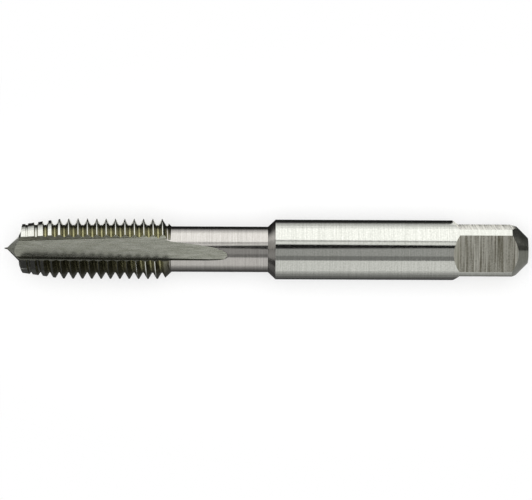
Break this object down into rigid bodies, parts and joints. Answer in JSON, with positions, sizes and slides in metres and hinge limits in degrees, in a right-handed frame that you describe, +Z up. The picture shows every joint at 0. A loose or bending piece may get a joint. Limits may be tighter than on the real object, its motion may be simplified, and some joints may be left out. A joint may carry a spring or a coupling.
{
  "type": "thread tap",
  "caption": "Straight-fluted machine tap that cuts an internal metric thread, with flutes that deepen towards the tip, a male centre, a reduced neck, a round shank and a driving square.",
  "frame": {"origin": "on the axis of the tap, halfway along the plain part of the shank", "axes": "+X along the axis from the cutting end to the driving square, +Z up, with the tap lying on its side, one flute facing up and the other facing down"},
  "size_m": [0.07, 0.008, 0.008],
  "materials": {
    "ground_steel": "ground"
  },
  "bodies": {
    "root": {"tap": "ground_steel"}
  },
  "joints": []
}
